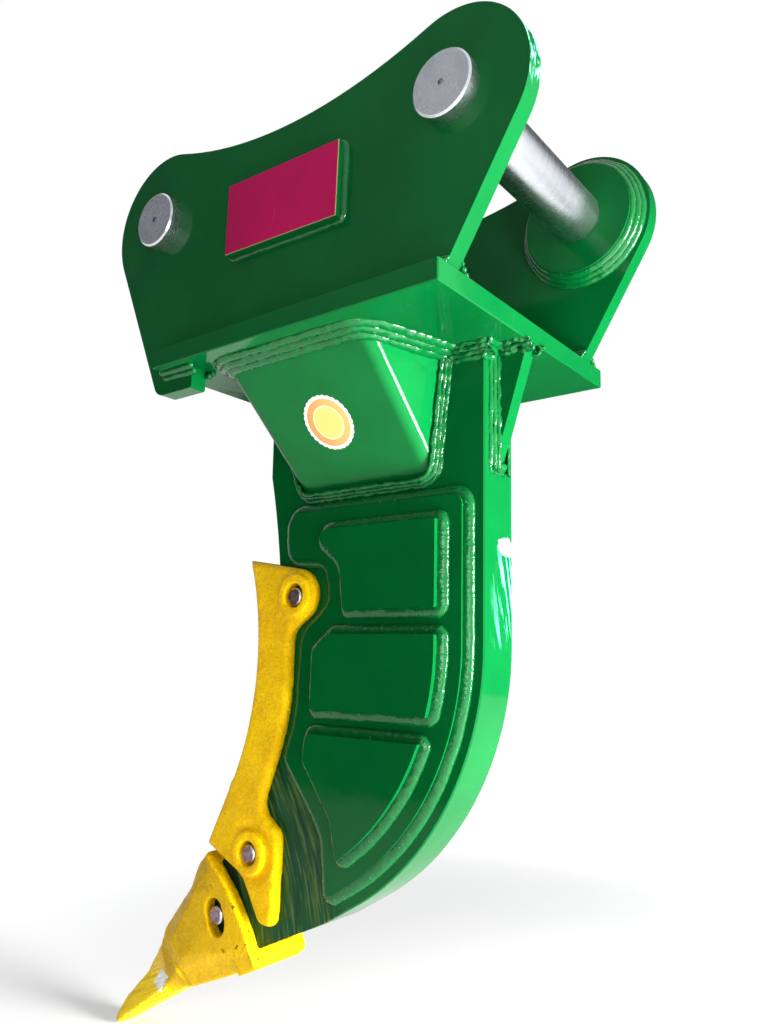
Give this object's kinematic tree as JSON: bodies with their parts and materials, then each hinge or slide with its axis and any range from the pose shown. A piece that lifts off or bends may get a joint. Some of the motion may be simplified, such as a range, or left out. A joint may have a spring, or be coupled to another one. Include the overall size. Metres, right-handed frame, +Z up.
{
  "type": "ripper shank tooth",
  "caption": "Single-shank excavator ripper: pinned hitch ears and base plate, braced curved shank with wear pads, yellow cast protector and tooth.",
  "frame": {"origin": "centre of the stick pin, midway between the two hitch ears", "axes": "+X to the rear (from the stick pin to the link pin), +Y along the pins, away from their heads, +Z up out of the base plate towards the pins; the tooth points down and forward"},
  "size_m": [0.93, 0.488, 1.458],
  "materials": {
    "green_enamel": "gloss",
    "yellow_enamel": "satin",
    "crimson_enamel": "gloss",
    "turned_steel": "turned",
    "dark_steel": "worn",
    "plated_steel": "satin"
  },
  "bodies": {
    "root": {"base_plate": "green_enamel", "boss_welds_left": "green_enamel", "boss_welds_right": "green_enamel", "bosses_left": "green_enamel", "bosses_right": "green_enamel", "cheek_left": "green_enamel", "cheek_right": "green_enamel", "cheek_weld_left": "green_enamel", "cheek_weld_right": "green_enamel", "collar_welds": "green_enamel", "collars": "green_enamel", "cross_pins": "dark_steel", "ear_left": "green_enamel", "ear_right": "green_enamel", "ear_welds": "green_enamel", "gusset_left": "green_enamel", "gusset_right": "green_enamel", "gusset_weld_left": "green_enamel", "gusset_weld_right": "green_enamel", "hook_welds": "green_enamel", "link_pin": "turned_steel", "lock_bolts": "plated_steel", "lock_nuts": "plated_steel", "name_plate": "crimson_enamel", "name_plate_weld": "green_enamel", "pad_lower_left": "green_enamel", "pad_lower_right": "green_enamel", "pad_middle_left": "green_enamel", "pad_middle_right": "green_enamel", "pad_upper_left": "green_enamel", "pad_upper_right": "green_enamel", "pad_welds_left": "green_enamel", "pad_welds_right": "green_enamel", "protector": "yellow_enamel", "rear_rib": "green_enamel", "rib_welds": "green_enamel", "shank": "green_enamel", "stick_pin": "turned_steel", "tooth": "yellow_enamel"}
  },
  "joints": []
}
